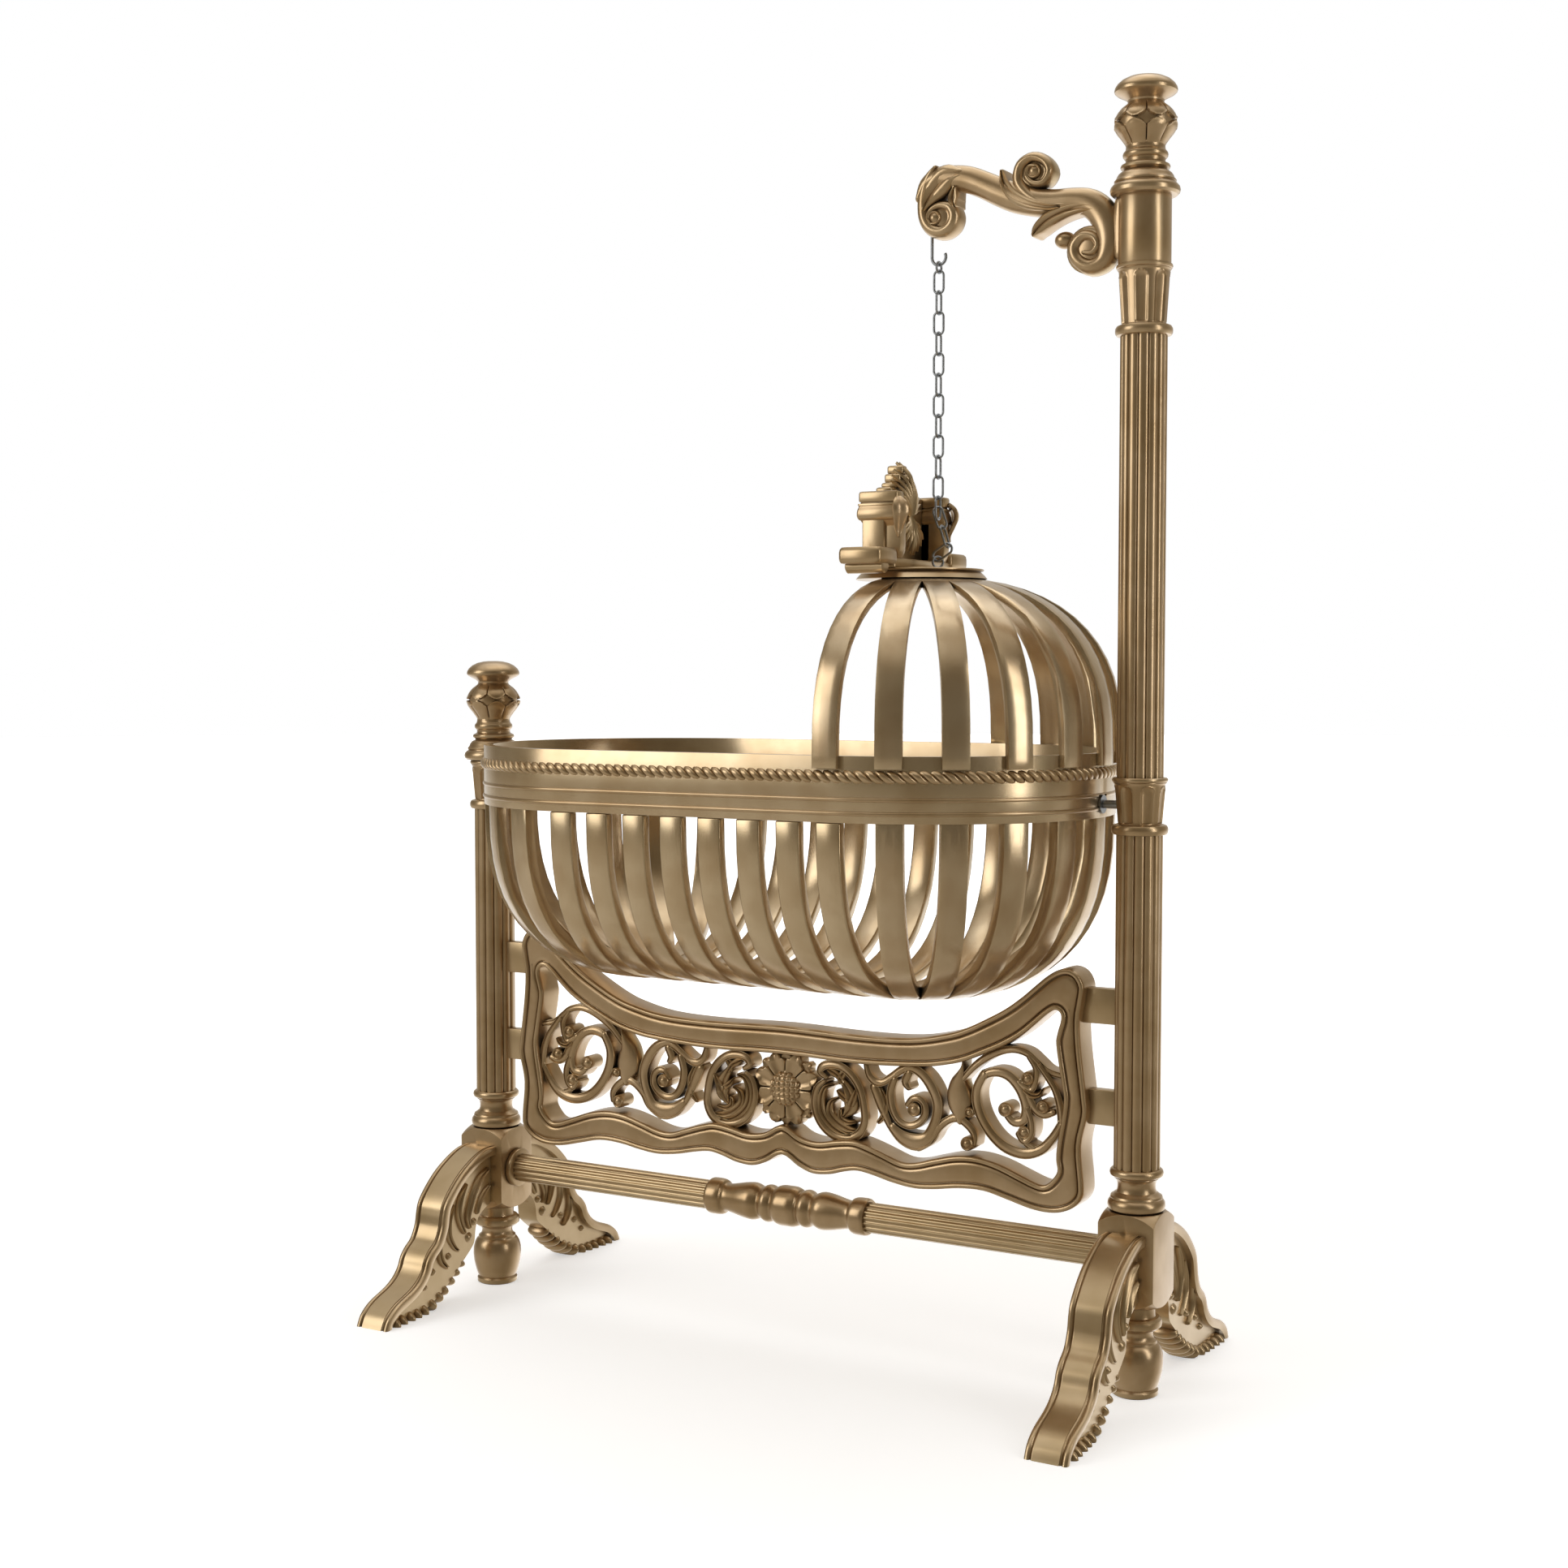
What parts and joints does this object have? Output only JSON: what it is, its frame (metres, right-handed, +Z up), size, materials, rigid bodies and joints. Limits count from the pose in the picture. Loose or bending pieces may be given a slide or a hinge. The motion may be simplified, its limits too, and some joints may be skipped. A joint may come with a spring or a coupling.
{
  "type": "swinging cradle on stand",
  "caption": "Swinging cradle in satin champagne-gold lacquered wood, hung between two turned posts, with a ribbed hood, an openwork panel and a tall post whose arm holds a chain.",
  "frame": {"origin": "on the floor, midway between the two posts, at the centre of the box", "axes": "+X along the cradle towards the tall post, +Y to the rear, +Z up"},
  "size_m": [1.224, 0.634, 1.83],
  "materials": {
    "lacquered_wood": "satin champagne-gold lacquer over carved hardwood, darker in the recesses",
    "bare_wood": "bare beech dowel",
    "steel": "dull zinc-plated wire and turned pins"
  },
  "bodies": {
    "stand": {"short_foot": "lacquered_wood", "short_block": "lacquered_wood", "short_base_turning": "lacquered_wood", "short_lower_shaft": "lacquered_wood", "short_cup": "lacquered_wood", "short_finial": "lacquered_wood", "tall_foot": "lacquered_wood", "tall_block": "lacquered_wood", "tall_base_turning": "lacquered_wood", "tall_lower_shaft": "lacquered_wood", "tall_cup": "lacquered_wood", "tall_upper_shaft": "lacquered_wood", "tall_arm_cup": "lacquered_wood", "tall_collar": "lacquered_wood", "tall_finial": "lacquered_wood", "post_dowels": "bare_wood", "short_front_leg": "lacquered_wood", "short_rear_leg": "lacquered_wood", "tall_front_leg": "lacquered_wood", "tall_rear_leg": "lacquered_wood", "leg_dowels": "bare_wood", "short_stretcher_rod": "lacquered_wood", "tall_stretcher_rod": "lacquered_wood", "stretcher_baluster": "lacquered_wood", "stretcher_flanges": "lacquered_wood", "stretcher_dowels": "bare_wood", "panel_top_rail": "lacquered_wood", "panel_bottom_rail": "lacquered_wood", "panel_short_stile": "lacquered_wood", "panel_tall_stile": "lacquered_wood", "panel_short_scrolls": "lacquered_wood", "panel_tall_scrolls": "lacquered_wood", "panel_flower": "lacquered_wood", "panel_pegs": "lacquered_wood", "arm": "lacquered_wood", "arm_dowels": "bare_wood", "chain_hook": "steel", "pivot_pins": "steel", "pivot_spacers": "steel"},
    "cradle": {"pivot_bushes": "steel", "rim_band": "lacquered_wood", "rope_moulding": "lacquered_wood", "rim_beads": "lacquered_wood", "foot_side_ribs": "lacquered_wood", "head_side_ribs": "lacquered_wood", "foot_end_ribs": "lacquered_wood", "head_end_ribs": "lacquered_wood", "hood_ribs": "lacquered_wood", "hood_plate": "lacquered_wood", "crest_foot": "lacquered_wood", "crest_board": "lacquered_wood", "crest_cap": "lacquered_wood", "crest_steps": "lacquered_wood", "crest_plume": "lacquered_wood", "chain_eye": "steel", "slack_links": "steel"},
    "chain": {"chain_ring": "steel", "chain_links": "steel"}
  },
  "joints": [
    {"name": "cradle_swing", "type": "hinge", "parent": "stand", "child": "cradle", "pos_m": [0, 0, 0.831], "axis": [1, 0, 0], "range_deg": [-10, 10]},
    {"name": "chain_swing", "type": "hinge", "parent": "stand", "child": "chain", "pos_m": [0.25, 0, 1.59945], "axis": [1, 0, 0], "range_deg": [-12, 12]}
  ],
  "couplings": [
    {"joint": "chain_swing", "follows": "cradle_swing", "ratio": -1.17}
  ]
}
